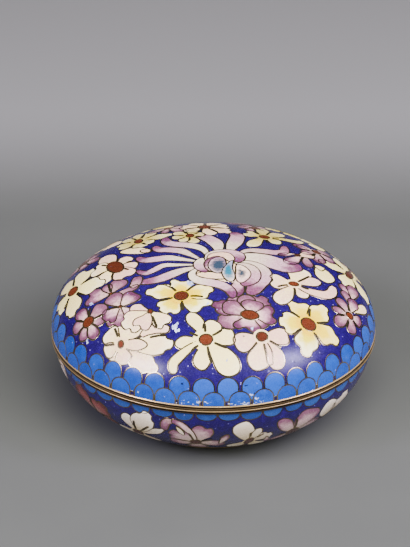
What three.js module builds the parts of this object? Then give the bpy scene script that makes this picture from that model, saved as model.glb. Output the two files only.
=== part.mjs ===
// A round covered box in cloisonne enamel: a shallow bowl on a brass foot ring, and a domed lid that lifts off.
// Both shells are copper with enamel fused on each side, so wall is their whole thickness. Each shell's edge is
// bound with a half-round brass rim, and the base rim carries an upright lip that the lid drops over.
// Millimetres, +Z up, origin at the centre of the foot ring's underside.
import * as THREE from "three";

// Driving dimensions.
const boxRadius = 65; // over the brass rims
const seamHeight = 33.4; // the plane where the lid meets the base
const domeTop = 65.8; // the crown of the lid
const wall = 2.2;
const rimHeight = 1.8; // of each brass rim
const rimBulge = 0.7; // how far the half-round face swells past its edges
const footRadius = 38;
const footWidth = 2.8;
const footHeight = 2;
const lipHeight = 3.2; // the upright lip, above the seam
const lipThickness = 1;
const lipClearance = 0.5; // between the lip and the inside of the lid rim
const edgeSoftening = 0.4; // the small bevel on the lip and the foot

// The two shell outlines are superellipses: reach at the rim, rise away from it, and how square the shoulder is.
const domeReach = boxRadius - 0.5;
const domePower = 2.21;
const bowlReach = boxRadius - 1.4;
const bowlFullDepth = 39; // where the bowl's outline would close if its floor did not cut it off flat
const bowlPower = 1.9;

const turns = 64; // facets round the axis
const curveSteps = 10; // facets along each shell's outline

// Heights and radii that follow from those.
const baseRimFloor = seamHeight - rimHeight;
const lidRimTop = seamHeight + rimHeight;
const lipOuter = boxRadius - 3.4;
const lipInner = lipOuter - lipThickness;
const seamEdge = boxRadius - rimBulge - 0.2; // where the two half-round faces meet
const bowlFloor = footHeight + wall; // the flat inside the bowl

// Points along a superellipse quadrant, from its rim (reach, 0) to the point where it has risen by stop.
function quadrant(reach, rise, power, stop) {
  const last = Math.asin(Math.min(1, (stop / rise) ** (power / 2)));
  const points = [];
  for (let i = 0; i <= curveSteps; i++) {
    const t = (last * i) / curveSteps;
    points.push([reach * Math.cos(t) ** (2 / power), rise * Math.sin(t) ** (2 / power)]);
  }
  return points;
}

// The half-round face of a rim, from its lower edge to its upper one.
function halfRound(lowRadius, highRadius, low, high, steps = 6) {
  const points = [];
  for (let i = 0; i <= steps; i++) {
    const t = i / steps;
    const edge = lowRadius + (highRadius - lowRadius) * t;
    points.push([edge + rimBulge * Math.sin(Math.PI * t), low + (high - low) * t]);
  }
  return points;
}

// A section of [radius, height] pairs, turned about the Z axis.
function turned(section) {
  const profile = section.map(([radius, height]) => new THREE.Vector2(radius, height));
  return new THREE.LatheGeometry(profile, turns).rotateX(Math.PI / 2);
}

// The dome: its outer outline from the crown down to the rim, and its inner one back to the axis.
function lidDome() {
  const rise = domeTop - lidRimTop;
  const outer = quadrant(domeReach, rise, domePower, rise);
  const inner = quadrant(domeReach - wall, rise - wall, domePower, rise - wall);
  outer[curveSteps][0] = 0;
  inner[curveSteps][0] = 0;
  const section = [...outer, ...inner.reverse()];
  return turned([...section, section[0]].map(([r, h]) => [r, lidRimTop + h]));
}

// The bowl: flat floor outside and in, joined by curved sides that stop at the base rim.
function baseBowl() {
  const outer = quadrant(bowlReach, bowlFullDepth, bowlPower, baseRimFloor - footHeight);
  const inner = quadrant(bowlReach - wall, bowlFullDepth - wall, bowlPower, baseRimFloor - bowlFloor);
  const section = [
    [0, footHeight],
    ...outer.reverse().map(([r, drop]) => [r, baseRimFloor - drop]),
    ...inner.map(([r, drop]) => [r, baseRimFloor - drop]),
    [0, bowlFloor],
  ];
  return turned(section);
}

function lidRim() {
  const inner = lipOuter + lipClearance;
  const face = halfRound(seamEdge, domeReach, seamHeight, lidRimTop);
  return turned([[inner, seamHeight], ...face, [inner, lidRimTop], [inner, seamHeight]]);
}

function baseRim() {
  const face = halfRound(bowlReach + 0.6, seamEdge, baseRimFloor, seamHeight);
  const lipTop = seamHeight + lipHeight;
  return turned([
    [lipInner, baseRimFloor],
    ...face,
    [lipOuter, seamHeight],
    [lipOuter, lipTop - edgeSoftening],
    [lipOuter - edgeSoftening, lipTop],
    [lipInner, lipTop],
    [lipInner, baseRimFloor],
  ]);
}

function footRing() {
  const inner = footRadius - footWidth;
  return turned([
    [inner + edgeSoftening, 0],
    [footRadius - edgeSoftening, 0],
    [footRadius, edgeSoftening],
    [footRadius, footHeight],
    [inner, footHeight],
    [inner, edgeSoftening],
    [inner + edgeSoftening, 0],
  ]);
}

const enamel = new THREE.MeshStandardMaterial({ color: 0x2b20a4, roughness: 0.22, metalness: 0 });
const brass = new THREE.MeshStandardMaterial({ color: 0xa3834a, roughness: 0.35, metalness: 1 });

const box = new THREE.Group();
for (const [name, geometry, material] of [
  ["foot_ring", footRing(), brass],
  ["base_bowl", baseBowl(), enamel],
  ["base_rim", baseRim(), brass],
  ["lid_rim", lidRim(), brass],
  ["lid_dome", lidDome(), enamel],
]) {
  const mesh = new THREE.Mesh(geometry, material);
  mesh.name = name;
  box.add(mesh);
}

export default box;
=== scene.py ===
import math
import random
from collections import namedtuple
from functools import partial

import bmesh
import bpy
import numpy as np
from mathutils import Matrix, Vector


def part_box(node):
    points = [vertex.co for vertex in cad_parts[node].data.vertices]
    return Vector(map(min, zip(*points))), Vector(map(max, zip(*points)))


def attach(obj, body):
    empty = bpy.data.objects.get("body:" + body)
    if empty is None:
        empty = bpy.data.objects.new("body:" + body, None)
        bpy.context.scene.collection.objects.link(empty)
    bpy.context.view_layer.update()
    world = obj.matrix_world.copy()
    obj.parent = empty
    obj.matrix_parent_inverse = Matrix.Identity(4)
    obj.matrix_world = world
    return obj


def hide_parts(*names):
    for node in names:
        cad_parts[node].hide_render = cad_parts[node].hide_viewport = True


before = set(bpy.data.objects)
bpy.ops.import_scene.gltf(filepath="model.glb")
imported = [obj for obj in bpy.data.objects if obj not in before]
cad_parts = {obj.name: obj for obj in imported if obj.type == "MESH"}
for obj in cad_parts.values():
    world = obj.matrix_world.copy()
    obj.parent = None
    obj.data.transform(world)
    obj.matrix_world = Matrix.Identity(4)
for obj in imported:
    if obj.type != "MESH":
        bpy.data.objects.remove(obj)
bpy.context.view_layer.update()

mm = 0.001
dice = random.Random(11)


def stray(size):
    return dice.uniform(-size, size)


def turned(x, y, degrees):
    c, s = math.cos(math.radians(degrees)), math.sin(math.radians(degrees))
    return Vector((x * c - y * s, x * s + y * c))


def smooth(low, high, value):
    t = min(max((value - low) / (high - low), 0.0), 1.0)
    return t * t * (3 - 2 * t)


# Sizes of the two enamelled shells, in millimetres: what the frame's solids say, and their curves' powers.
def nodeSize(node):
    low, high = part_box(node)
    return low / mm, high / mm


lidLow, lidHigh = nodeSize("lid_dome")
bowlLow, bowlHigh = nodeSize("base_bowl")
wall = 2.2  # copper and the enamel on its two faces
lidShape = {"reach": lidHigh.x, "base": lidLow.z, "rise": lidHigh.z - lidLow.z, "power": 2.21}
bowlShape = {"reach": bowlHigh.x, "base": bowlHigh.z, "rise": -39.0, "power": 1.9,
             "stop": bowlHigh.z - bowlLow.z}


def between(spot, count):
    # the entry of a list of count that a spot lies past, and how far towards the next one
    spot = min(max(spot, 0.0), count - 1.001)
    return int(spot), spot - int(spot)


def outline(shape, steps, inset=0.0):
    # radius and height from the rim to the crown, or to where the flat floor cuts the curve off
    reach, rise = shape["reach"] - inset, abs(shape["rise"]) - inset
    stop = shape.get("stop", abs(shape["rise"])) - inset
    last = math.asin(min(1.0, (stop / rise) ** (shape["power"] / 2)))
    points = []
    for i in range(steps + 1):
        t = last * i / steps
        along = max(math.cos(t), 0.0) ** (2 / shape["power"])
        up = math.sin(t) ** (2 / shape["power"])
        points.append((reach * along, shape["base"] + math.copysign(rise * up, shape["rise"])))
    return points


class Shell:
    # The outside of one shell, and the flat pattern laid over it so that shapes keep their angles.
    # The lid's pattern is a disc round the crown; the bowl's is a strip that hangs down from its rim.
    step = 0.1  # between two rows of the table, in pattern millimetres
    fine = 20000  # steps along the curve that the table is summed from
    hole = 0.3  # radius at the crown or the floor's middle inside which the sum isn't taken

    def __init__(self, shape):
        self.domed = shape["rise"] > 0
        self.reach = shape["reach"]
        radius, height = np.array(outline(shape, self.fine)).T
        keep = radius > self.hole
        radius, height = radius[keep], height[keep]
        run = np.hypot(np.diff(radius), np.diff(height))
        turnedBy = np.concatenate([[0], np.cumsum(run / ((radius[1:] + radius[:-1]) / 2))])
        if self.domed:
            flat = radius[-1] * np.exp(turnedBy[-1] - turnedBy)
            radius, height, flat = radius[::-1], height[::-1], flat[::-1]
        else:
            flat = self.reach * turnedBy
        slopeR, slopeZ = np.gradient(radius, flat), np.gradient(height, flat)
        size = np.hypot(slopeR, slopeZ)
        self.edge = float(flat[-1])
        stops = np.arange(0, self.edge, self.step)
        columns = [radius, height, -slopeZ / size, slopeR / size]
        if self.domed:
            columns = [np.insert(c, 0, v) for c, v in zip(columns, (0, height[0], 0, 1))]
            flat = np.insert(flat, 0, 0)
        table = [np.interp(stops, flat, column) for column in columns]
        self.table = list(zip(*(column.tolist() for column in table)))

    def look(self, flat):
        index, part = between(flat / self.step, len(self.table))
        return [a + (b - a) * part for a, b in zip(self.table[index], self.table[index + 1])]

    def place(self, u, v, lift=0.0):
        if self.domed:
            flat = math.hypot(u, v)
            across, away = (u / flat, v / flat) if flat else (0.0, 0.0)
        else:
            flat = -v
            across, away = math.sin(u / self.reach), -math.cos(u / self.reach)
        radius, height, outR, outZ = self.look(flat)
        radius += outR * lift
        return Vector((radius * across, radius * away, height + outZ * lift)) * mm

    def scale(self, u, v):
        # how many real millimetres one millimetre of the flat pattern is there
        if not self.domed:
            return self.look(-v)[0] / self.reach
        flat = math.hypot(u, v)
        return self.look(flat)[0] / max(flat, 2 * self.step)


shells = {"lid": Shell(lidShape), "base": Shell(bowlShape)}
for side, shell in shells.items():
    print(side, "pattern reaches", round(shell.edge, 1), "mm")


# Cells and wires. A cell starts as a unit disc, a wire as a unit ring of narrow strips, and both take the
# same outline: a function from the disc to the flat pattern. Each layer of cells lies higher by layer, a
# wire stands over its cell by crest, and a double wire is as wide as spoke.
wire = {"width": {"lid": 0.68, "base": 0.5}, "crest": 0.018, "layer": 0.022, "spoke": 1.1}
# across a wire: place as a share of its width, height as a share of its crest, None where it is sunk
wireSection = [(-0.5, 0.0), (-0.28, 0.8), (0.0, 1.0), (0.28, 0.8), (0.5, None)]
# segments round a cell and its wire, and rings across the cell
detail = {"petal": (52, 6), "long": (64, 8), "scallop": (36, 5), "middle": (28, 4), "heart": (28, 3),
          "spoke": (16, 3), "chip": (14, 2), "scuff": (12, 2)}


def discTemplate(segments, rings, spread=1.0):
    # spread is how much of a petal's shading the cell shows: a small one stays at the throat's shade
    bm = bmesh.new()
    bmesh.ops.create_circle(bm, cap_ends=True, cap_tris=True, segments=segments, radius=1)
    hub = min(bm.verts, key=lambda vert: vert.co.length)
    bmesh.ops.subdivide_edges(bm, edges=list(hub.link_edges), cuts=rings - 1)
    cellMap = bm.loops.layers.uv.new("cell")
    for face in bm.faces:
        for loop in face.loops:
            x, y = loop.vert.co.xy / 2 * spread
            loop[cellMap].uv = (x + 0.5 - 0.25 * (1 - spread), y + 0.5)
    return bm


def ringTemplate(segments):
    bm = bmesh.new()
    bmesh.ops.create_circle(bm, segments=segments, radius=1)
    edges = list(bm.edges)
    for ring in range(1, len(wireSection)):
        grown = bmesh.ops.extrude_edge_only(bm, edges=edges)["geom"]
        edges = [part for part in grown if isinstance(part, bmesh.types.BMEdge)]
        verts = [part for part in grown if isinstance(part, bmesh.types.BMVert)]
        bmesh.ops.scale(bm, vec=Vector((1, 1, 1)) * (ring + 1) / ring, verts=verts)
    bmesh.ops.reverse_faces(bm, faces=list(bm.faces))
    return bm


templates = {}
inlays = {}  # the pieces of enamel and wire as they grow, by name
scratch = bpy.data.meshes.new("scratch")


def stamp(key, kind, sizes, move, tone=0.5):
    # lays one copy of a template into the piece called key, every point moved by the function move
    if (kind, sizes) not in templates:
        mesh = bpy.data.meshes.new("template")
        kind(*sizes).to_mesh(mesh)
        templates[kind, sizes] = mesh
    bm = bmesh.new()
    bm.from_mesh(templates[kind, sizes])
    toneLayer = bm.verts.layers.float.new("tone")
    for vert in bm.verts:
        vert[toneLayer] = tone
        vert.co = move(vert.co.x, vert.co.y)
    bm.to_mesh(scratch)
    bm.free()
    if key not in inlays:
        inlays[key] = bmesh.new()
    inlays[key].from_mesh(scratch)


def layCell(side, enamel, shape, layer, tone, kind="petal", spread=1.0):
    shell = shells[side]
    lift = wire["layer"] * (layer + 1)
    sizes = (*detail[kind], spread)
    stamp(f"{side}_{enamel}", discTemplate, sizes, lambda a, b: shell.place(*shape(a, b), lift), tone)


def layWire(side, shape, layer, kind="petal"):
    shell = shells[side]
    lift = wire["layer"] * (layer + 1)
    segments = detail[kind][0]
    nudge = math.pi / segments / 2
    width = wire["width"][side]

    def move(x, y):
        turn = math.atan2(y, x)
        ring = round(math.hypot(x, y)) - 1
        turns = (turn, turn - nudge, turn + nudge)
        spot, before, after = (Vector(shape(math.cos(t), math.sin(t))) for t in turns)
        ahead = (after - before).normalized()
        offset, crest = wireSection[ring]
        spot += Vector((ahead.y, -ahead.x)) * offset * width / shell.scale(*spot)
        height = -wire["layer"] / 2 if crest is None else lift + wire["crest"] * crest
        return shell.place(*spot, height)

    stamp(f"{side}_wires", ringTemplate, (segments,), move)


# Outlines on the flat pattern. A petal's form is foot, peak, power and tip. Foot is how wide it stays at
# its base, peak is where it is widest, and power is how square it is. Tip lists what swells (or cuts) its
# end: where round the end in radians, how far as a share of its width, and how broad.
forms = {
    "round": (0.42, 0.8, 2.2, []),
    "broad": (0.45, 0.7, 2.6, [(0.9, 0.04, 0.5), (-0.7, 0.05, 0.5)]),
    "oval": (0.9, 0.6, 2.0, []),
    "nub": (0.45, 0.78, 2.5, [(0, 0.25, 0.31), (-1.1, 0.05, 0.4)]),
    "sideNub": (0.45, 0.78, 2.5, [(0.4, 0.24, 0.3), (-0.8, 0.07, 0.5)]),
    "notch": (0.42, 0.72, 2.4, [(-0.1, -0.13, 0.24), (0.75, 0.06, 0.4), (-0.75, 0.05, 0.4)]),
    "lobed": (0.42, 0.68, 2.3, [(0.6, -0.1, 0.18), (-0.6, -0.09, 0.18), (1.3, 0.06, 0.4)]),
    "strap": (0.75, 0.5, 3.2, []),
    "stream": (0.62, 0.45, 2.6, [(0.25, 0.18, 0.6)]),
    "band": (1.0, 0.4, 6.0, []),
}


def smoothLine(points, steps=12):
    # a curve through the points, as places and headings
    points = [Vector(point) for point in points]
    ends = [2 * points[0] - points[1], *points, 2 * points[-1] - points[-2]]
    line = []
    for before, start, end, after in zip(ends, ends[1:], ends[2:], ends[3:]):
        for i in range(steps):
            t = i / steps
            bend = (2 * before - 5 * start + 4 * end - after) * t ** 2
            twist = (3 * start - before - 3 * end + after) * t ** 3
            line.append(0.5 * (2 * start + (end - before) * t + bend + twist))
    line.append(points[-1])
    last = len(line) - 1
    heads = [(line[min(i + 1, last)] - line[max(i - 1, 0)]).normalized() for i in range(last + 1)]
    return line, heads


def acrossShare(a, b):
    # how far out a point of the disc is, from -1 to 1, across the disc's width at its own height
    return min(max(b / math.sqrt(max(1 - a * a, 1e-6)), -1.0), 1.0)


def petalShape(points, width, form, wave=0.0):
    # a petal along a line of points; wave is how uneven its edge is, as a share of its width
    line, heads = smoothLine(points)
    foot, peak, power, tip = forms[form]
    ripples = [(count, dice.uniform(0, 2 * math.pi)) for count in (2, 3, 5)]

    def at(a, b):
        along = (1 + a) / 2
        turn = math.atan2(b, a)
        index, part = between(along * (len(line) - 1), len(line))
        middle = line[index].lerp(line[index + 1], part)
        ahead = heads[index].lerp(heads[index + 1], part).normalized()
        left = Vector((-ahead.y, ahead.x))
        swell = max(0.0, 1 - abs(a) ** power) ** (1 / power)
        taper = foot + (1 - foot) * smooth(0, peak, along)
        offset = acrossShare(a, b) * width / 2 * swell * taper
        push = sum(size * math.exp(-((turn - where) / breadth) ** 4) for where, size, breadth in tip)
        uneven = sum(math.sin(count * turn + phase) for count, phase in ripples)
        push += wave * smooth(0, 0.5, along) * uneven
        reach = push * width * min(a * a + b * b, 1.0)
        return middle + left * offset + (ahead * math.cos(turn) + left * math.sin(turn)) * reach

    return at


def archShape(turn, top, middle, foot, width):
    # a scallop of the border: round above its middle, straight-sided below, down to the rim
    head = Vector((math.sin(turn), -math.cos(turn)))
    side = Vector((head.y, -head.x))

    def at(a, b):
        along = middle + a * (foot - middle if a > 0 else middle - top)
        return head * along + side * (b if a < 0 else acrossShare(a, b)) * width / 2

    return at


def ovalShape(centre, across, along, turn=0.0):
    return lambda a, b: Vector(centre) + turned(a * across, b * along, turn)


def layPetal(side, enamel, width, form, layer, points, wave=0.012, kind="petal"):
    shape = petalShape(points, width, form, wave)
    layCell(side, enamel, shape, layer, dice.random(), kind)
    layWire(side, shape, layer, kind)


# Flowers, drawn flat. Each petal is (turn in degrees from the right, reach from the middle, width), in
# millimetres, then its form if it isn't round, and its bow if it has one: how far its middle bends to its
# left. Inner petals lie over the others, and straps are (width, points). Centre is (half across, half
# along, turn) of the brick red middle, and heart is the radius inside which the petals run together with no
# wire between them. Spokes are as spokeRoutes gives them.
Flower = namedtuple("Flower", "enamel centre heart petals inner straps spokes", defaults=((), (), None))
flowers = {
    "primrose": Flower("yellow", (2.8, 2.7, 0), 4.4, [
        (92, 9.2, 9.4, "sideNub"), (160, 12.6, 8.8, "nub", -0.6), (229, 11.4, 10, "lobed"),
        (322, 11, 9.8, "sideNub", -0.4), (18, 10.8, 9.4, "nub", -0.3)]),
    "buttercup": Flower("yellow", (3.3, 3.1, 160), 5, [
        (116, 10.8, 10, "sideNub"), (62, 12.2, 10, "nub"), (350, 12.4, 10.2, "nub"),
        (271, 12.4, 10.8, "nub"), (190, 12.4, 10.6, "lobed")]),
    "daisy": Flower("cream", (2.7, 2.6, 0), 5.2, [
        (117, 15, 6.6, "round", -0.6), (68, 9.6, 8.5), (10, 11.2, 8.2, "broad"),
        (308, 18.8, 11.2, "round", 0.6), (260, 13, 8), (186, 12.2, 6.4)],
        straps=[(4.2, [(-3, -1), (-9.5, -5.8), (-13.2, -9.4), (-13.4, -13.6)])]),
    "snowdrop": Flower("blush", (2.4, 2.2, 35), 3.4, [
        (205, 12, 9.6), (12, 11, 8, "broad"), (303, 15.2, 8.2, "round", 0.8), (266, 15, 10)],
        straps=[(2.6, [(1.2, -2), (3.4, -7), (4.4, -11.5)])]),
    "hooked": Flower("blush", (2.1, 1.5, 15), 3.0, [
        (75, 13.4, 10, "broad"), (32, 13.4, 6.4), (305, 9, 6.6), (243, 15.8, 7.8, "round", 0.6),
        (182, 9.6, 10, "notch")],
        straps=[(4.8, [(1.4, -1), (6.5, -2.4), (12.5, -1.7), (16, 1.4), (17.2, 7.2)])]),
    "violet": Flower("mauve", (2.0, 1.8, 0), 2.4, [
        (233, 11, 6.4), (288, 9, 6.6), (8, 7.6, 6.4), (130, 9.4, 6), (185, 8.6, 4.4)]),
    "peony": Flower("mauve", (3.6, 2.5, -3), 0, [
        (128, 12, 8), (100, 11.4, 7.6), (62, 12.6, 9, "lobed"), (10, 10.4, 10, "notch"), (322, 8.6, 7),
        (262, 8.2, 11, "notch"), (205, 14, 8, "lobed"), (160, 15.4, 8, "lobed")],
        inner=[(150, 11.4, 9, "round", 0.6), (80, 8.6, 9.6)], spokes=[]),
    "mallow": Flower("mauve", (2.8, 2.7, 30), 0, [
        (118, 10.4, 7), (172, 8.8, 7), (240, 8.6, 6.6), (285, 10.2, 6.2), (338, 8.2, 5.4),
        (34, 10, 8.8)]),
    "poppy": Flower("blush", (5.9, 3.2, 114), 0, [
        (112, 15.8, 9), (46, 8.8, 7.5), (341, 10, 7), (297, 12.4, 10, "notch"), (237, 11.6, 8.6, "notch"),
        (160, 10.8, 10.5, "notch")]),
    "magnolia": Flower("cream", (3.3, 2.6, 110), 4.2, [
        (62, 14.6, 11, "notch"), (116, 14, 9.6), (207, 12, 11, "notch"), (342, 13.6, 11, "nub"),
        (268, 17.2, 9, "lobed", 0.5)]),
    "narcissus": Flower("straw", (3.0, 1.8, 100), 3.4, [
        (128, 11, 7), (196, 9.4, 8.5, "notch"), (282, 8.4, 8), (325, 8, 6), (12, 12.4, 7, "nub"),
        (62, 13, 6.6), (94, 13, 6)]),
    "windflower": Flower("straw", (2.4, 2.2, 80), 3.2, [
        (158, 9, 8.5, "notch"), (243, 14.4, 6.4), (318, 8.6, 6.4), (50, 13, 6.6), (95, 14.6, 7)],
        straps=[(3.8, [(2, 0.4), (8, 1.2), (13.5, 2), (16.6, 5.4)])]),
    "camellia": Flower("blush", (1.3, 1.8, 0), 3.4, [
        (124, 10, 8.4, "broad"), (187, 8.4, 7.6), (228, 8, 7.4), (272, 9, 8),
        (312, 18.4, 9.4, "nub", -0.8), (347, 22.2, 9.6, "lobed", -0.6), (50, 11.2, 11, "lobed")],
        inner=[(342, 11.6, 5.2, "oval")], straps=[(4.6, [(8.6, 1.2), (12, 3.2), (16, 3.2), (20.2, 2.2)])],
        spokes=[(165, 2.8, 7.4), (104, 3.8, 8.8), (359, 12.2, 18.8)]),
    "rosette": Flower("blush", (1.0, 1.4, 20), 0, [
        (150, 9, 6.6, "round", 0.4), (202, 12.4, 11.4, "lobed"), (308, 10.4, 8, "notch")],
        inner=[(236, 9, 8.2, "notch", 0.4)], spokes=[(286, 2.6, 9.2)]),
    "geranium": Flower("mauve", (0.9, 0.8, 0), 0, [
        (114, 9.8, 8.6), (44, 9, 8, "broad"), (298, 8.6, 8, "notch"), (255, 10.4, 8, "notch"),
        (212, 8.6, 8.8, "lobed")], spokes=[(176, 0.8, 5.8)]),
    "bellflower": Flower("mauve", (0.8, 0.8, 0), 0, [
        (164, 11.4, 10, "notch"), (62, 9.4, 8.6), (110, 7.5, 5)],
        straps=[(3.4, [(1, -1.6), (6.5, -0.8), (11.4, 1.4)]),
        (4.6, [(8.4, 0.6), (10.4, 3.6), (10.8, 7.8)])], spokes=[(100, 1.2, 7.8)]),
    "lily": Flower("cream", (5.0, 2.0, 75), 3.6, [
        (183, 12.4, 9, "nub"), (258, 13.6, 9, "nub"), (312, 15.4, 8.6, "nub"), (48, 14, 9),
        (112, 14, 8.6)]),
    "starlet": Flower("straw", (1.7, 2.1, 0), 2.4, [
        (190, 7.6, 5.4), (140, 9, 5.4), (285, 8.8, 5.6), (240, 7.4, 5), (80, 8.4, 5.6), (20, 6.4, 5.4)]),
    "rose": Flower("blush", (3.2, 2.6, 90), 0, [
        (222, 10.4, 8), (286, 12.6, 7), (322, 13.6, 7.6, "lobed"), (12, 10.4, 8.4, "notch"),
        (60, 11, 8.4), (115, 11, 8.4), (170, 10.4, 8, "notch")]),
    "aster": Flower("cream", (3.8, 2.6, 62), 3.6, [
        (94, 15, 7.6), (63, 20.8, 9.6, "lobed"), (34, 16.6, 4.6, "nub"), (200, 12.4, 9), (248, 12.4, 9),
        (304, 13, 9)]),
    "bindweed": Flower("mauve", (3.2, 2.4, 70), 0, [
        (71, 14.8, 8.6, "notch"), (138, 13, 10.4, "lobed"), (350, 13, 9.4), (196, 11.6, 9),
        (272, 13, 10, "notch")]),
    "jasmine": Flower("cream", (4.4, 2.0, 84), 3.0, [
        (108, 17.4, 8.4, "broad"), (77, 12.2, 4.8), (30, 11, 8.2, "lobed"), (228, 12.4, 9),
        (305, 13.6, 9)]),
    "dogrose": Flower("mauve", (5.0, 3.2, 120), 0, [
        (76, 16.6, 12.4, "broad"), (125, 18.6, 7), (14, 14, 9), (215, 12, 9),
        (290, 12.6, 10.6, "notch")]),
    "gardenia": Flower("cream", (3.2, 2.8, 0), 4.2, [
        (120, 20.6, 10.6), (86, 18.2, 10, "lobed"), (42, 15, 9.6), (190, 12.6, 9), (240, 12.6, 9),
        (310, 12.6, 9.6, "notch")]),
    "carnation": Flower("rust", (2.6, 2.6, 0), 0, [
        (104, 18, 11.6, "lobed"), (52, 17, 11, "lobed"), (150, 13.5, 10, "lobed"), (0, 12, 9.4),
        (205, 12, 9.4), (262, 12.6, 10, "notch"), (315, 12, 9.4)]),
}

# Where they stand on the lid: flower, across, away from the viewer, then turn, size and layer if they are
# other than 0, 1 and 0.
lidPlan = [
    ("primrose", -12.4, -29.2), ("buttercup", 37.7, -38.6), ("daisy", -2.8, -52.6),
    ("snowdrop", 19, -49.6), ("hooked", 31.4, -17), ("violet", 56.3, -24, 0, 1, 3), ("peony", 14, -39.6),
    ("mallow", -51, -32, 0, 1, 5), ("poppy", -39.5, -1), ("magnolia", -58.8, -6.2),
    ("narcissus", -30.8, 21), ("windflower", 20.6, 22), ("camellia", -37.2, -49),
    ("rosette", -24.4, -36.4, 0, 1, 5), ("geranium", -36.6, -30.2, 0, 1, 4), ("bellflower", -40.6, -20.6),
    ("lily", 57.6, 9.4), ("starlet", -9.6, 20), ("rose", -4, 32.4), ("violet", 42.4, 18, 40, 1.1),
    ("mallow", -56, 19, 40), ("magnolia", 49, 35, 115, 0.9), ("buttercup", 31, 45, 20, 0.85),
    ("peony", 13, 51, 180, 0.95), ("daisy", -8, 57, 200, 0.8), ("primrose", -27, 49, 150),
    ("hooked", -44, 38, 200), ("violet", -19, 35, 75), ("mallow", 17, 35, 10, 0.8),
    ("snowdrop", -60, 36, 250, 0.9), ("violet", 62, 23, 10, 0.9),
]

# Single petals between them: enamel, width, form, layer, points.
lidLoose = [
    ("mauve", 6.6, "round", 6, [(57, -21.4), (58.6, -12)]),
    ("blush", 5.6, "round", 5, [(59, -20), (62.5, -15), (66, -10.6)]),
    ("mauve", 5.0, "round", 4, [(56.4, -17), (53, -9.6)]),
    ("mauve", 5.2, "round", 3, [(55.6, -12.4), (52.4, -4.8)]),
    ("mauve", 7.2, "round", 5, [(57.4, -12.4), (58.5, -1.6)]),
    ("cream", 8.8, "oval", 0, [(42.6, 2), (44.6, -3.6), (46, -9.2)]),
    ("cream", 5.0, "round", 2, [(43.4, -1), (42.6, 3.2)]),
    ("blush", 6.4, "oval", 0, [(-38.2, 13.2), (-32, 10.6), (-25, 6.4)]),
    ("blush", 3.6, "oval", 2, [(-29.4, 9.6), (-25.4, 6.8)]),
    ("mauve", 6.4, "round", 1, [(35.2, 7), (32, 2.4), (28.6, -2)]),
    ("mauve", 5.2, "round", 0, [(37, 8.8), (38.2, -1)]),
    ("blush", 6.4, "round", 2, [(34, 6.8), (40.6, 13)]),
    ("mauve", 3.2, "round", 0, [(33, 8.6), (25.6, 4.2)]),
    ("mauve", 4.6, "round", 1, [(41, 15), (34, 19)]),
    ("brick", 1.7, "oval", 4, [(32.4, 7), (35, 8.4)]),
    ("cream", 5.4, "lobed", 0, [(-18.2, -25.6), (-19.8, -21)]),
]


def bowed(turn, start, reach, bow):
    points = [turned(start, 0, turn), turned(reach, 0, turn)]
    if bow:
        points.insert(1, turned((start + reach) / 2, bow, turn))
    return points


# layers over a flower's own
stack = {"inner": 3, "strap": 3, "heart": 4, "spoke": 5, "middle": 6}
petalRoot = 0.6  # how far from the flower's middle a petal starts


def petalStack(index, outer):
    # neighbours take turns above and below, and the last of an odd number lies above both of its own
    if index >= outer:
        return stack["inner"] + index - outer
    return 2 if index == outer - 1 and index % 2 == 0 else index % 2


# A spoke parts petals whose turns differ by the degrees in gaps. It starts clear of the middle, ends past
# where they divide and short of a share of the shorter one, and sways and bows a little.
spokeHabits = {"gaps": (25, 100), "past": 1.6, "share": 0.8, "clear": (0.2, 1.2), "sway": 3, "bow": 0.3}


def spokeRoutes(flower):
    # turn, start and end of the short thick double wires that part neighbouring petals, from near the
    # middle out to where they divide; a flower may name its own
    if flower.spokes is not None:
        return flower.spokes
    petals = sorted(flower.petals)
    middle = max(flower.centre[:2])
    routes = []
    for first, second in zip(petals, petals[1:] + petals[:1]):
        gap = (second[0] - first[0]) % 360
        if not spokeHabits["gaps"][0] < gap < spokeHabits["gaps"][1]:
            continue
        divide = (first[2] + second[2]) / 4 / math.sin(math.radians(gap / 2))
        end = min(divide + spokeHabits["past"], spokeHabits["share"] * min(first[1], second[1]))
        start = middle * 0.8  # just under the brick red middle's edge
        if flower.heart:
            start = middle + dice.uniform(*spokeHabits["clear"])
        if end > start + 1:
            routes.append((first[0] + gap / 2 + stray(spokeHabits["sway"]), start, end))
    return routes


def laySpokes(side, flower, put, size, layer):
    for turn, start, end in spokeRoutes(flower):
        points = put(bowed(turn, start, end, stray(spokeHabits["bow"])))
        shape = petalShape(points, wire["spoke"] * size, "band")
        stamp(f"{side}_wires", discTemplate, (*detail["spoke"], 1.0), spokeMove(side, shape, layer))


def spokeMove(side, shape, layer):
    # a spoke's edge rounds down below the petals from 0.7 of the way out
    shell = shells[side]
    lift = wire["layer"] * (layer + 1) + wire["crest"]

    def move(a, b):
        drop = 2 * wire["crest"] * smooth(0.7, 1, math.hypot(a, b))
        return shell.place(*shape(a, b), lift - drop)

    return move


# round the bowl the flowers are in paler glass, and the scallops in a darker copy of the azure: painted
# shade
bowlEnamels = {"cream": "ivory", "mauve": "lilac", "azure": "paintedShadeAzure"}


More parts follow.
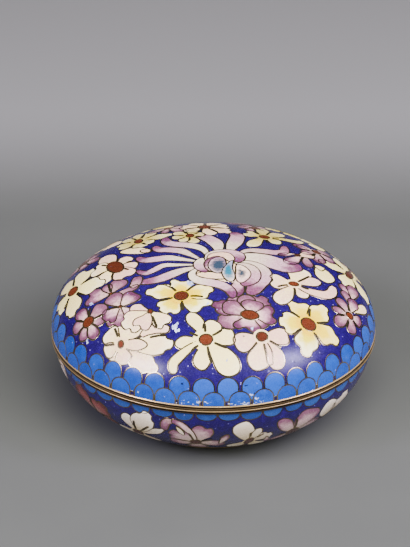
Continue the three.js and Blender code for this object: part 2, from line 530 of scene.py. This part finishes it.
def layFlower(side, name, u, v, turn=0, size=1, layer=0):
    flower = flowers[name]
    enamel = flower.enamel
    if side == "base":
        enamel = bowlEnamels.get(enamel, enamel)

    def put(points):
        return [Vector((u, v)) + size * turned(x, y, turn) for x, y in points]

    def layOne(index, angle, reach, width, form="round", bow=0):
        above = petalStack(index, len(flower.petals))
        points = put(bowed(angle, petalRoot, reach, bow))
        layPetal(side, enamel, width * size, form, layer + above, points)

    for index, petal in enumerate([*flower.petals, *flower.inner]):
        layOne(index, *petal)
    for width, route in flower.straps:
        layPetal(side, enamel, width * size, "strap", layer + stack["strap"], put(route))
    if flower.heart:
        heart = flower.heart * size
        layCell(side, enamel, ovalShape((u, v), heart, heart), layer + stack["heart"], 0.5, "heart", 0.2)
    laySpokes(side, flower, put, size, layer + stack["spoke"])
    across, along, tilt = flower.centre
    middle = ovalShape((u, v), across * size, along * size, tilt + turn)
    layCell(side, "brick", middle, layer + stack["middle"], dice.random(), "middle")
    layWire(side, middle, layer + stack["middle"], "middle")


for entry in lidPlan:
    layFlower("lid", *entry)
for petal in lidLoose:
    layPetal("lid", *petal)
print("lid flowers laid")

# Round the bowl, on a strip that hangs from its rim: the front first, then on round the back.
basePlan = [
    ("aster", -34.5, -21.5), ("bindweed", -7.4, -20.5), ("jasmine", 16, -21.5), ("dogrose", 37.5, -22),
    ("gardenia", 60, -24), ("carnation", -57.5, -20.5), ("snowdrop", -81.5, -15, 160),
    ("daisy", -101, -22, 180), ("dogrose", -124, -22, 10), ("jasmine", -147, -21.5),
    ("peony", -170, -19.5, 0, 1.15), ("aster", -194, -21.5, 20), ("dogrose", 83, -22, 30),
    ("jasmine", 106, -21.5), ("carnation", 129, -21, 0, 0.95), ("gardenia", 153, -23.5, 0, 0.95),
    ("bindweed", 178, -21),
]
baseLoose = [
    ("lilac", 3.0, "strap", 5, [(-7, -18), (-8.7, -11.4), (-12, -6.5), (-15.8, -4.6)]),
    ("mauve", 3.6, "strap", 4, [(-14.8, -4.8), (-18.2, -6.2), (-19.4, -11.4)]),
    ("ivory", 2.2, "oval", 5, [(-14, -8), (-11.6, -13.4)]),
    ("lilac", 3.6, "round", 4, [(2.8, -22), (6, -12.4)]),
    ("lilac", 3.4, "round", 4, [(23.6, -18.6), (25.4, -27)]),
    ("ivory", 7, "round", 4, [(-80, -14), (-76, -3.4)]),
]
for entry in basePlan:
    layFlower("base", *entry)
for petal in baseLoose:
    layPetal("base", *petal)
print("bowl flowers laid")

# The chrysanthemum at the crown: long petals streaming out of a curled heart. A stream is width, layer,
# points; a curl is like a single petal above.
streams = [
    (5.2, 1, [(-2, -2), (-4.2, 5), (-9, 9.3), (-15, 11.4), (-18.6, 14),
        (-19.4, 19.6)]),
    (4.8, 0, [(-5, -4), (-9.5, 1), (-13, 4.5), (-18, 6.4), (-21.6, 7.4),
        (-23.4, 11)]),
    (4.8, 1, [(-6, -5.5), (-13, -2.8), (-18, -1), (-23, -1), (-27, -0.6),
        (-30, 2.6)]),
    (3.6, 0, [(-6, -8), (-14, -7.5), (-19.5, -7), (-23, -9.6), (-26.4, -11.2),
        (-30, -8.6)]),
    (5.2, 1, [(-5, -9.6), (-12, -12), (-17, -14.8), (-21.5, -17), (-28.6, -17.2)]),
    (6.6, 0, [(2, 0), (1.6, 8), (0, 13), (-3, 17.5), (-6.4, 22)]),
    (6.4, 1, [(5.6, 0), (7.2, 8), (8.8, 14), (9.6, 20), (8.8, 24)]),
    (4.8, 0, [(8, 0), (13.5, 5.2), (20, 6), (25, 6.4), (28.4, 9), (28.8, 14)]),
    (10.4, 1, [(8, -2), (14, -0.6), (20, -1.8), (25, -3.6), (29, -5),
        (33.6, -4.2)]),
    (7.8, 2, [(8, -6), (14, -6.4), (18.2, -10.4), (18.6, -16), (16.8, -21),
        (14, -26.8)]),
]
curls = [
    ("streaming", 7.8, "oval", 4, [(9, -6.8), (13.8, -10.4), (14.4, -16.6), (11.4, -23)]),
    ("speckled", 6.0, "oval", 5, [(9.4, -7.6), (11.2, -12), (11.3, -16), (10.2, -21)]),
    ("mauve", 6.2, "round", 3, [(8.6, -16), (9.4, -23), (8.4, -30)]),
    ("streaming", 5.0, "stream", 4, [(-5.4, -10), (-8.4, -14.8), (-6.4, -19.4), (-1, -21.4), (3, -23),
        (6, -26), (7.4, -30)]),
    ("blush", 4.8, "oval", 5, [(-6.8, -15.4), (-1.6, -16.2), (5.4, -17.8)]),
    ("streaming", 5.4, "oval", 5, [(-4.2, -2.6), (-5.4, -8), (-3, -14.2)]),
    ("streaming", 5.6, "stream", 6, [(-3, -5), (-1, 0.4), (5, 2.4), (9.6, 0.4), (9.2, -4.8)]),
    ("blush", 4.8, "stream", 7, [(-2.2, -5), (0, -0.8), (4.6, 0), (6.6, -4.4)]),
    ("mauve", 8.4, "oval", 8, [(0.6, -14.2), (0.4, -8.2), (1.4, -1.2)]),
    ("slate", 7.4, "oval", 9, [(1.5, -14.8), (1.4, -8.4), (2.2, -2.0)]),
    ("turquoise", 5.4, "round", 10, [(7.4, -4.4), (5.8, -10), (5.7, -15), (6.9, -20.6)]),
]
# one pale cell under it all closes the gaps
backing = {"centre": (4, -10), "across": 12, "along": 10.5}
layCell("lid", "blush", ovalShape(**backing), -0.5, 0.5)
for width, layer, points in streams:
    layPetal("lid", "streaming", width, "stream", layer, points, 0.01, "long")
for petal in curls:
    layPetal("lid", *petal, 0.01, "long")
print("chrysanthemum laid")

# Scale border: two rows of scallops round the lid, one round the bowl. Phase is the first one's turn in
# degrees, shift its place in millimetres. Top, middle and foot are distances from the crown or the rim, and
# widths are shares of the width. Sway (sideways) and jitter (up and down) are the most one strays.
scallops = {
    "lid": {"count": 44, "phase": 4.7, "sway": 0.008, "jitter": 0.35, "widths": (0.94, 1.02), "rows": [
        {"top": 68.9, "middle": 73.4, "foot": 79.4, "width": 9.3, "layer": 4},
        {"top": 75.0, "middle": 79.8, "foot": 81.9, "width": 10.1, "layer": 5}]},
    "base": {"count": 47, "shift": -2.3, "sway": 0.3, "top": 3.8, "middle": 0.9, "foot": 0.1, "width": 7.9,
             "jitter": 0.3, "widths": (0.93, 1.03), "layer": 0}}


def hungArch(across, sizes, width, drop):
    # a scallop of the bowl's row: round below its middle, straight-sided above, up to the rim
    centre = Vector((across, -sizes["middle"]))
    rise = sizes["middle"] - sizes["foot"]

    def at(a, b):
        share = b if a < 0 else acrossShare(a, b)
        return centre + Vector((share * width / 2, a * (rise if a > 0 else drop)))

    return at


def layScallop(side, enamel, shape, layer):
    layCell(side, enamel, shape, layer, dice.random(), "scallop")
    layWire(side, shape, layer, "scallop")


def layLidScallops(border):
    pitch = 2 * math.pi / border["count"]
    for row, sizes in enumerate(border["rows"]):
        for i in range(border["count"]):
            turn = math.radians(border["phase"]) + pitch * (i + row / 2) + stray(border["sway"])
            nudge = stray(border["jitter"])
            width = sizes["width"] * dice.uniform(*border["widths"])
            shape = archShape(turn, sizes["top"] + nudge, sizes["middle"] + nudge, sizes["foot"], width)
            layScallop("lid", "azure", shape, sizes["layer"])


def layBowlScallops(border):
    pitch = 2 * math.pi * shells["base"].reach / border["count"]
    for i in range(border["count"]):
        across = pitch * i + border["shift"] + stray(border["sway"])
        drop = border["top"] - border["middle"] + stray(border["jitter"])
        width = border["width"] * dice.uniform(*border["widths"])
        layScallop("base", bowlEnamels["azure"], hungArch(across, border, width, drop), border["layer"])


layLidScallops(scallops["lid"])
layBowlScallops(scallops["base"])
print("scallops laid")

# Wear: chips that show the pale ground coat, and pits gone dark. Each is across, away, half width, half
# height. One wider than large is a patch of crumbs.
chips = {
    "worn": [(-15.2, -46.8, 1.8, 2.2), (-14.2, -44.6, 0.7, 1.2), (-9.2, -21.6, 1.4, 1.6),
        (-34, -71, 0.7, 0.7), (-2, -34.4, 0.5, 0.8), (15, -46.4, 0.6, 0.5), (-49, -22.6, 1.1, 0.8),
        (-53, -41, 0.8, 0.9), (17.2, -75.2, 1.2, 0.5), (20, -76.6, 1.0, 0.6), (-6.5, -79.6, 1.6, 0.5),
        (14.5, -79.8, 1.8, 0.4), (5.5, -61.5, 0.3, 0.5)],
    "pit": [(-13, -70.6, 0.5, 0.4), (14, -71.2, 0.6, 0.35), (11.8, -50.4, 0.4, 0.35), (19, -74, 0.7, 0.5),
        (33.6, -57.4, 0.3, 0.3), (-33, -55.6, 0.35, 0.3)],
}
crumbs = {"large": 0.6, "count": 7, "share": (0.2, 0.5), "drift": 0.8, "tilt": 0.2}
# scuffs along the lid's front edge: turn in degrees, distance from the crown, half length and width
scuffs = {"count": 30, "turn": (-13, 17), "reach": (79.2, 81.6), "half": (0.15, 0.55), "width": (0.2, 0.5)}
wearLayer = 7


def layChip(enamel, spot, half, width, wave, kind):
    shape = petalShape([spot - half, spot + half], width, "oval", wave)
    layCell("lid", enamel, shape, wearLayer, dice.random(), kind)


def layChips():
    for enamel, spots in chips.items():
        for u, v, across, along in spots:
            large = across > crumbs["large"]
            for crumb in range(crumbs["count"] if large else 1):
                share = dice.uniform(*crumbs["share"]) if large else 1
                drift = crumbs["drift"] if large else 0
                spot = Vector((u + stray(across * drift), v + stray(along * drift)))
                half = Vector((across * share, stray(crumbs["tilt"]) * share))
                layChip(enamel, spot, half, 2 * along * share, 0.18, "chip")


def layScuffs():
    for scuff in range(scuffs["count"]):
        turn = math.radians(dice.uniform(*scuffs["turn"]))
        reach = dice.uniform(*scuffs["reach"])
        spot = Vector((math.sin(turn), -math.cos(turn))) * reach
        half = Vector((dice.uniform(*scuffs["half"]), 0))
        layChip("worn", spot, half, dice.uniform(*scuffs["width"]), 0.2, "scuff")


layChips()
layScuffs()
print("wear laid")


# Turned pieces: a section in millimetres, spun round the axis. A point is radius, height and, on a rim, how
# pale its metal is painted: rubbed metal, and on the rims' bands painted highlight lines as well.
def spinPiece(section, closed, segments=256):
    bm = bmesh.new()
    rubbed = bm.verts.layers.float.new("rubbed")
    verts = []
    for radius, height, *wear in section:
        verts.append(bm.verts.new((radius * mm, 0, height * mm)))
        verts[-1][rubbed] = sum(wear)
    edges = [bm.edges.new(pair) for pair in zip(verts, verts[1:])]
    if closed:
        edges.append(bm.edges.new((verts[-1], verts[0])))
    bmesh.ops.spin(bm, geom=verts + edges, cent=(0, 0, 0), axis=(0, 0, 1), angle=2 * math.pi,
                   steps=segments, use_merge=True, use_duplicate=False)
    bmesh.ops.remove_doubles(bm, verts=list(bm.verts), dist=1e-7)
    bmesh.ops.recalc_face_normals(bm, faces=list(bm.faces))
    return bm


def addObject(name, data):
    thing = bpy.data.objects.new(name, data)
    bpy.context.scene.collection.objects.link(thing)
    return thing


def addMesh(name, bm, materials):
    mesh = bpy.data.meshes.new(name)
    bm.to_mesh(mesh)
    bm.free()
    for material in materials:
        mesh.materials.append(material)
    return addObject(name, mesh)


def finishPiece(name, bm, materials, replaced=()):
    piece = addMesh(name, bm, materials)
    piece.data.polygons.foreach_set("use_smooth", [True] * len(piece.data.polygons))
    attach(piece, "root")
    if replaced:
        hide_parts(*replaced)


# Materials.
def linear(hexColour):
    channels = [int(hexColour[i:i + 2], 16) / 255 for i in (1, 3, 5)]
    return [c / 12.92 if c <= 0.04045 else ((c + 0.055) / 1.055) ** 2.4 for c in channels] + [1.0]


def addNode(tree, kind, values=(), out=0):
    # a shader node with its settings, given back as its output; a value that is a socket becomes a link
    node = tree.nodes.new("ShaderNode" + kind)
    for key, value in dict(values).items():
        if isinstance(value, bpy.types.NodeSocket):
            tree.links.new(value, node.inputs[key])
        elif isinstance(key, str) and hasattr(node, key):
            setattr(node, key, value)
        else:
            node.inputs[key].default_value = value
    return None if out is None else node.outputs[out]


def newMaterial(name):
    # a material and the function that adds a node to it
    material = bpy.data.materials.new(name)
    material.use_nodes = True
    material.node_tree.nodes.clear()
    return material, partial(addNode, material.node_tree)


eased = {"interpolation_type": "SMOOTHSTEP"}
colourMix = {"data_type": "RGBA"}


def glazed(name, paint, specks=0.05):
    # Glass enamel, fired, ground flat and polished: a deep wet gloss over a faint orange peel, and pinholes
    # where bubbles were ground open and chalky polish has lodged. Specks is how many spots have one.
    material, add = newMaterial(name)
    where = add("TexCoord", out="Object")
    peel = add("TexNoise", {"Scale": 1 / (2.4 * mm), "Detail": 2.0, "Vector": where})
    grain = add("TexNoise", {"Scale": 1 / (0.5 * mm), "Detail": 4.0, "Vector": where})
    # real pinholes are under 0.1 mm; these are drawn two or three times as coarse, so that they show
    bubbles = {"Scale": 1 / (1.5 * mm), "Vector": where}
    away = add("TexVoronoi", bubbles, "Distance")
    spot = add("MapRange", {**eased, 0: away, 1: 0.08, 2: 0.17, 3: 1.0, 4: 0.0})
    chance = add("SeparateColor", {0: add("TexVoronoi", bubbles, "Color")})
    chosen = add("MapRange", {0: chance, 1: 1 - specks, 2: 1 - specks / 2})
    pinhole = add("Math", {"operation": "MULTIPLY", 0: spot, 1: chosen})
    colour = add("Mix", {**colourMix, 0: pinhole, 6: paint(add, where), 7: linear("#948cc0")}, 2)
    swell = add("Bump", {"Strength": 0.14, "Distance": 0.25 * mm, "Height": peel})
    tooth = add("Bump", {"Strength": 0.24, "Distance": 0.04 * mm, "Height": grain, "Normal": swell})
    haze = add("MapRange", {0: grain, 1: 0.3, 2: 0.7, 3: 0.22, 4: 0.32})
    shader = add("BsdfPrincipled", {"IOR": 1.5, "Base Color": colour, "Roughness": haze, "Normal": tooth})
    add("OutputMaterial", {0: shader}, None)
    return material


def wetPacked(throat, body, end, fired, sides=1.0):
    # several colours laid side by side in one cell: throat by the flower's middle, body, and end round the
    # tip and, by the share called sides, along the sides; fired is a colour that some cells lean to, in
    # crumbs of the ground glass, and how far
    def paint(add, where):
        spot = add("UVMap", {"uv_map": "cell"})
        blur = add("TexNoise", {"Scale": 1 / (2.2 * mm), "Detail": 3.0, "Vector": where})
        drift = add("Math", {"operation": "MULTIPLY_ADD", 0: blur, 1: 0.36, 2: -0.18})
        slim = add("VectorMath", {"operation": "MULTIPLY", 0: spot, 1: (1, sides, 1)})
        away = add("VectorMath", {"operation": "DISTANCE", 0: slim, 1: (0.34, 0.5 * sides, 0)}, "Value")
        reach = add("Math", {"operation": "ADD", 0: away, 1: drift})
        along = add("SeparateXYZ", {0: spot})
        tone = add("Attribute", {"attribute_name": "tone"}, "Fac")
        fromThroat = add("MapRange", {**eased, 0: along, 1: 0.25, 2: 0.6})
        toEnd = add("MapRange", {**eased, 0: reach, 1: end[1], 2: end[2]})
        crumb = add("TexNoise", {"Scale": 1 / (1.1 * mm), "Detail": 4.0, "Roughness": 0.65,
                                 "Vector": where})
        uneven = add("Math", {"operation": "MULTIPLY_ADD", 0: crumb, 1: 2.6, 2: -1.3})
        mottled = add("Math", {0: tone, 1: uneven})
        lean = add("MapRange", {0: mottled, 3: 0.0, 4: fired[1]})
        inner = add("Mix", {**colourMix, 0: fromThroat, 6: linear(throat), 7: linear(body)}, 2)
        whole = add("Mix", {**colourMix, 0: toEnd, 6: inner, 7: linear(end[0])}, 2)
        return add("Mix", {**colourMix, 0: lean, 6: whole, 7: linear(fired[0])}, 2)

    return paint


def blotted(base, colour, spot, size):
    # the same cell with a soft blot of another colour worked into it while it was wet; size is where the
    # blot begins to fade and where it is gone
    def paint(add, where):
        blur = add("TexNoise", {"Scale": 1 / (1.4 * mm), "Detail": 3.0, "Vector": where})
        place = add("UVMap", {"uv_map": "cell"})
        away = add("VectorMath", {"operation": "DISTANCE", 0: place, 1: (*spot, 0)}, "Value")
        reach = add("Math", {"operation": "MULTIPLY_ADD", 0: blur, 1: 0.5, 2: away})
        share = add("MapRange", {**eased, 0: reach, 1: size[0] + 0.25, 2: size[1] + 0.25, 3: 1.0, 4: 0.0})
        return add("Mix", {**colourMix, 0: share, 6: base(add, where), 7: linear(colour)}, 2)

    return paint


def plainCell(deep, light, cloudSize):
    # one colour, clouded where the ground glass lay thick or thin, and a little different from cell to cell
    def paint(add, where):
        cloud = add("TexNoise", {"Scale": 1 / cloudSize, "Detail": 5.0, "Roughness": 0.65, "Vector": where})
        tone = add("Attribute", {"attribute_name": "tone"}, "Fac")
        both = add("Math", {"operation": "MULTIPLY_ADD", 0: tone, 1: 0.35, 2: cloud})
        depth = add("MapRange", {**eased, 0: both, 1: 0.4, 2: 0.9})
        return add("Mix", {**colourMix, 0: depth, 6: linear(deep), 7: linear(light)}, 2)

    return paint


# Cells of shaded enamel: slot, name, then what wetPacked takes.
shaded = {
    "yellow": ("yellow", "opaqueYellowEnamel",
        "#d8ac00", "#e0cc1c", ("#f8f0b0", 0.27, 0.54), ("#ecc400", 0.7)),
    "cream": ("cream", "opaqueCreamEnamel",
        "#f0e084", "#f4e48c", ("#f8ecac", 0.40, 0.62), ("#e8cc80", 0.7)),
    "straw": ("cream", "strawEnamel", "#c4ac48", "#d2c070", ("#e8dc9c", 0.36, 0.62), ("#bca654", 0.5)),
    "blush": ("cream", "blushWhiteEnamel", "#f4dc8c", "#f4d898", ("#f8e8b0", 0.40, 0.62), ("#dca890", 0.9)),
    "mauve": ("pink", "mauvePinkEnamel", "#d8b49c", "#bc8890", ("#4c243a", 0.24, 0.52), ("#784c5a", 0.8)),
    "streaming": ("pink", "shadedPinkEnamel",
        "#dccca4", "#c49c9c", ("#582a48", 0.33, 0.58), ("#985c6c", 0.6), 0.3),
    "rust": ("pink", "rustPinkEnamel", "#ac8070", "#8c4840", ("#54201e", 0.34, 0.60), ("#602c24", 0.5)),
    "ivory": ("cream", "ivoryEnamel", "#e8d4a0", "#ecdcb8", ("#f0e6cc", 0.40, 0.62), ("#dcbca0", 0.5)),
    "lilac": ("pink", "lilacEnamel", "#e0c8b0", "#dcb8b0", ("#6a3854", 0.30, 0.58), ("#9c6c74", 0.5)),
}
enamels = {key: (slot, glazed(name, wetPacked(*mix))) for key, (slot, name, *mix) in shaded.items()}
enamels |= {
    "speckled": ("cream", glazed("speckledCreamEnamel", blotted(wetPacked(
        "#ecd4a8", "#ecd0b0", ("#d8a8a4", 0.44, 0.66), ("#d49c94", 0.5)),
        "#26363e", (0.5, 0.42), (0.04, 0.38)))),
    "slate": ("turquoise", glazed("slateBlueEnamel", blotted(wetPacked(
        "#ccb4a8", "#cca8a4", ("#a47c8c", 0.40, 0.66), ("#94707c", 0.6)),
        "#2a3844", (0.5, 0.44), (0.2, 0.6)))),
    "brick": ("brick_red", glazed("brickRedEnamel", plainCell("#431c0c", "#592711", 1.6 * mm))),
    "azure": ("azure", glazed("azureEnamel", plainCell("#10337a", "#184490", 2.6 * mm), 0.14)),
    # the bowl's scallops: a darker copy of the azure, painted shade
    "paintedShadeAzure": ("azure", glazed("paintedShadeAzureEnamel", plainCell("#1a3064", "#22427a", 2.6 * mm), 0.14)),
    "turquoise": ("turquoise", glazed("turquoiseEnamel", blotted(wetPacked(
        "#b8b0cc", "#d8c4b0", ("#e4d0b0", 0.40, 0.62), ("#c8a4a0", 0.5)),
        "#1c6474", (0.48, 0.5), (0.18, 0.56)))),
    "worn": ("cream", glazed("wornGroundCoat", plainCell("#7d8fc0", "#c8cfe0", 0.8 * mm))),
    "pit": ("cobalt", glazed("darkPit", plainCell("#0c0a1c", "#1c1a40", 0.8 * mm))),
}
cobalt = glazed("cobaltEnamel", plainCell("#15043e", "#240664", 2 * mm), 0.42)
lining = glazed("turquoiseCounterEnamel", plainCell("#2c7f90", "#48a3ac", 6 * mm), 0.2)


def agedBrass(name, light, dark, salts, roughness, metallic):
    # Gilt brass, turned and handled: browned unevenly, with green salts in patches, and pale bare metal
    # along the edges that hands and cloths have rubbed; on the rims' bands these pale lines are also
    # painted highlights. The less metallic, the more of it is dull oxide.
    material, add = newMaterial(name)
    where = add("TexCoord", out="Object")
    cloud = add("TexNoise", {"Scale": 1 / (9 * mm), "Detail": 4.0, "Vector": where})
    fleck = add("TexNoise", {"Scale": 1 / (2 * mm), "Detail": 4.0, "Vector": where})
    browned = add("MapRange", {**eased, 0: cloud, 1: 0.3, 2: 0.7})
    green = add("MapRange", {**eased, 0: fleck, 1: 0.5, 2: 0.75, 3: 0.0, 4: 0.5})
    metal = add("Mix", {**colourMix, 0: browned, 6: linear(light), 7: linear(dark)}, 2)
    colour = add("Mix", {**colourMix, 0: green, 6: metal, 7: linear(salts)}, 2)
    worn = add("MapRange", {0: cloud, 1: 0.3, 2: 0.7, 3: 1.0, 4: 0.6})
    edges = add("Attribute", {"attribute_name": "rubbed"}, "Fac")
    rubbed = add("Math", {"operation": "MULTIPLY", 0: edges, 1: worn})
    # pale colour along the marked edges: rubbed metal on the foot, and painted highlight lines on the rims'
    # bands
    bareAndHighlitColour = add("Mix", {**colourMix, 0: rubbed, 6: colour, 7: linear("#f4d08c")}, 2)
    dull = add("MapRange", {0: cloud, 1: 0.3, 2: 0.7, 3: roughness, 4: roughness + 0.12})
    rough = add("Mix", {0: rubbed, 2: dull, 3: 0.26})
    bump = add("Bump", {"Strength": 0.08, "Distance": 0.04 * mm, "Height": fleck})
    shader = add("BsdfPrincipled", {"Metallic": metallic, "Base Color": bareAndHighlitColour, "Roughness": rough,
                                    "Normal": bump})
    add("OutputMaterial", {0: shader}, None)
    return material


rimBrass = agedBrass("agedGiltBrass", "#2e190a", "#180d04", "#2a2a16", 0.4, 0.7)
# the bowl's wires take a darker copy of the brass: painted shade for the bowl, which faces down
wireBrass = {"lid": agedBrass("brassWire", "#d4c48c", "#948456", "#7c8050", 0.2, 1.0),
             "base": agedBrass("paintedShadeBrassWire", "#a08c58", "#5c4e30", "#5c6040", 0.26, 1.0)}

# Shells.
shellSteps = {"outside": 64, "inside": 26}


def shellSection(shape):
    # from the middle of the outside over the rim to the middle of the inside, across a floor if it has one
    outer = outline(shape, shellSteps["outside"])
    inner = outline(shape, shellSteps["inside"], wall)
    for side in (outer, inner):
        middle = (0.0, side[-1][1])
        if "stop" in shape:
            side.append(middle)
        side[-1] = middle
    return outer[::-1] + inner


def layShell(name, shape, replaced, isOutside):
    bm = spinPiece(shellSection(shape), False)
    for face in bm.faces:
        face.material_index = 0 if isOutside(face) else 1
    finishPiece(name, bm, [cobalt, lining], [replaced])


def lidOutside(face):
    # it looks up or out, and isn't the rim's flat underside
    spot = face.calc_center_median() / mm
    return face.normal.dot(Vector((spot.x, spot.y, 60))) > 0 and face.normal.z > -0.5


def bowlOutside(face):
    # it looks away from the axis, which leaves out the flat underside
    spot = face.calc_center_median() / mm
    return face.normal.dot(Vector((spot.x, spot.y, 0))) > 0.05


layShell("lid_shell", lidShape, "lid_dome", lidOutside)
layShell("bowl_shell", bowlShape, "base_bowl", bowlOutside)
print("shells spun")

# Brass rims and foot.
rimLow, rimHigh = nodeSize("base_rim")
lidRimLow, lidRimHigh = nodeSize("lid_rim")
footHigh = nodeSize("foot_ring")[1]
seam = lidRimLow.z
rimReach = lidRimHigh.x
lip = {"outer": 61.6, "inner": 60.6, "top": rimHigh.z, "ease": 0.4, "gap": 0.5}
lidRimInner = lip["outer"] + lip["gap"]

# Each rim is a turned moulding: how far inside the full reach, how far from the seam, and how pale its
# metal is painted: rubbed metal, and painted highlight lines along the bands.
lidMoulding = [(1.9, 0, 0), (1.0, 0.16, 0), (0.36, 0.3, 0.4), (0.2, 0.42, 0.7), (0.22, 0.52, 0.2),
               (0.28, 0.62, 0), (0.3, 0.9, 0), (0.28, 1.14, 0), (0.26, 1.28, 0.1), (0.22, 1.4, 0.5),
               (0.24, 1.52, 1), (0.36, 1.68, 1), (0.5, 1.8, 1)]
baseMoulding = [(1.9, 0, 0), (1.0, 0.18, 0), (0.36, 0.32, 0.3), (0.18, 0.44, 0.7), (0.18, 0.56, 0.3),
                (0.26, 0.74, 0), (0.36, 1.1, 0), (0.44, 1.4, 0), (0.5, 1.62, 0.2), (0.6, 1.8, 0.05)]
lidBead = [(rimReach - inset, seam + up, rubbed) for inset, up, rubbed in lidMoulding]
baseBead = [(rimReach - inset, seam - down, rubbed) for inset, down, rubbed in reversed(baseMoulding)]
foot = {"outer": footHigh.x, "inner": footHigh.x - 2.8, "top": footHigh.z, "ease": 0.4}
rimSections = {
    ("lid_rim_bead", "lid_rim"): [(lidRimInner, seam), *lidBead, (lidRimInner, lidRimHigh.z)],
    ("base_rim_bead", "base_rim"): [
        (lip["inner"], rimLow.z), *baseBead, (lip["outer"], seam), (lip["outer"], lip["top"] - lip["ease"]),
        (lip["outer"] - lip["ease"], lip["top"]), (lip["inner"], lip["top"])],
    ("foot_ring_turned", "foot_ring"): [
        (foot["inner"] + foot["ease"], 0, 0.4), (foot["outer"] - foot["ease"], 0, 0.6),
        (foot["outer"], foot["ease"], 0.6), (foot["outer"], foot["top"]), (foot["inner"], foot["top"]),
        (foot["inner"], foot["ease"])],
}
for (name, node), section in rimSections.items():
    finishPiece(name, spinPiece(section, True), [rimBrass], [node])
print("rims spun")

for key, bm in inlays.items():
    side, enamel = key.split("_")
    if enamel == "wires":
        finishPiece(key, bm, [wireBrass[side]])
    else:
        slot, material = enamels[enamel]
        finishPiece(key, bm, [material])
print("inlays finished:", len(inlays))


# Floor, light and camera.
def addFloor():
    # matt grey backdrop paper, a little uneven, with painted light that makes it paler where it runs back
    # and a painted shadow round where the box stands
    bm = bmesh.new()
    bmesh.ops.create_grid(bm, x_segments=1, y_segments=1, size=3)
    material, add = newMaterial("greyBackdropPaper")
    where = add("TexCoord", out="Object")
    cloud = add("TexNoise", {"Scale": 1 / (60 * mm), "Detail": 4.0, "Vector": where})
    near = add("Mix", {**colourMix, 0: cloud, 6: linear("#474842"), 7: linear("#4f5049")}, 2)
    depth = add("SeparateXYZ", {0: where}, 1)
    # painted light: the paper turns paler towards the back
    back = add("MapRange", {**eased, 0: depth, 1: 0.16, 2: 0.32})
    paperUnshadowed = add("Mix", {**colourMix, 0: back, 6: near, 7: linear("#787772")}, 2)
    # painted shadow: a soft dark patch round where the box stands, darkest near it
    narrow = add("VectorMath", {"operation": "MULTIPLY", 0: where, 1: (0.6, 1, 1)})
    around = add("VectorMath", {"operation": "DISTANCE", 0: narrow, 1: (-0.01, 0.05, 0)}, "Value")
    paintedShadow = add("MapRange", {**eased, 0: around, 1: 0.03, 2: 0.105, 3: 0.38, 4: 0.0})
    colour = add("Mix", {**colourMix, 0: paintedShadow, 6: paperUnshadowed, 7: linear("#2c2d2a")}, 2)
    shader = add("BsdfPrincipled", {"Base Color": colour, "Roughness": 0.8, "Specular IOR Level": 0.2})
    add("OutputMaterial", {0: shader}, None)
    floor = addMesh("floor", bm, [material])


# Azimuth from the viewer towards the right, elevation, distance, size, power, colour, and whether it shows
# in the glaze.
softboxes = {
    "softboxRight": (66, 40, 0.9, (0.1, 0.32), 4.0, "#ccc2ff", True),
    "softboxRightHalo": (60, 38, 0.92, (0.5, 0.6), 8.0, "#ccc2ff", True),
    "softboxLeft": (-53, 34, 1.0, (0.16, 0.18), 4.0, "#d4ccff", True),
    "softboxLeftHalo": (-53, 34, 1.02, (0.5, 0.44), 10, "#d4ccff", True),
    "ceiling": (18, 54, 1.2, (1.1, 1.1), 53, "#ffffff", False),
    "frontFill": (6, 14, 1.3, (1.3, 0.6), 8, "#ffffff", False),
}


def addSoftbox(name, azimuth, elevation, distance, size, power, colour, shows):
    light = bpy.data.lights.new(name, "AREA")
    light.shape = "ELLIPSE"
    light.size, light.size_y = size
    light.energy = power
    light.color = linear(colour)[:3]
    lamp = addObject(name, light)
    a, e = math.radians(azimuth), math.radians(elevation)
    aim = Vector((math.sin(a) * math.cos(e), -math.cos(a) * math.cos(e), math.sin(e)))
    lamp.location = aim * distance + Vector((0, 0, seam * mm))
    lamp.rotation_euler = aim.to_track_quat("Z", "Y").to_euler()
    lamp.visible_glossy = shows


addFloor()
for name, box in softboxes.items():
    addSoftbox(name, *box)


def addRoom():
    # a dim room, brightest overhead
    world = bpy.data.worlds.new("dimRoom")
    world.use_nodes = True
    world.node_tree.nodes.clear()
    add = partial(addNode, world.node_tree)
    up = add("SeparateXYZ", {0: add("TexCoord", out="Generated")}, 2)
    glow = add("MapRange", {**eased, 0: up, 1: 0.2, 2: 0.95, 3: 0.06, 4: 0.24})
    shader = add("Background", {"Strength": glow})
    add("OutputWorld", {0: shader}, None)
    bpy.context.scene.world = world


addRoom()

view = {"distance": 780, "elevation": 28.65, "aimLeft": 3.45, "aimUp": 21.6, "roll": 0.2, "lens": 127.9,
        "sensor": 36}


def addCamera():
    data = bpy.data.cameras.new("camera")
    data.sensor_width = view["sensor"]
    data.lens = view["lens"]
    camera = addObject("camera", data)
    e = math.radians(view["elevation"])
    back, up = Vector((0, -math.cos(e), math.sin(e))), Vector((0, math.sin(e), math.cos(e)))
    centre = Vector((0, 0, seam))
    camera.location = (centre + back * view["distance"]) * mm
    target = (centre + up * view["aimUp"] - Vector((view["aimLeft"], 0, 0))) * mm
    turn = (target - camera.location).to_track_quat("-Z", "Y").to_euler()
    turn.rotate_axis("Z", math.radians(view["roll"]))
    camera.rotation_euler = turn
    bpy.context.scene.camera = camera


addCamera()
print("lights and camera set")
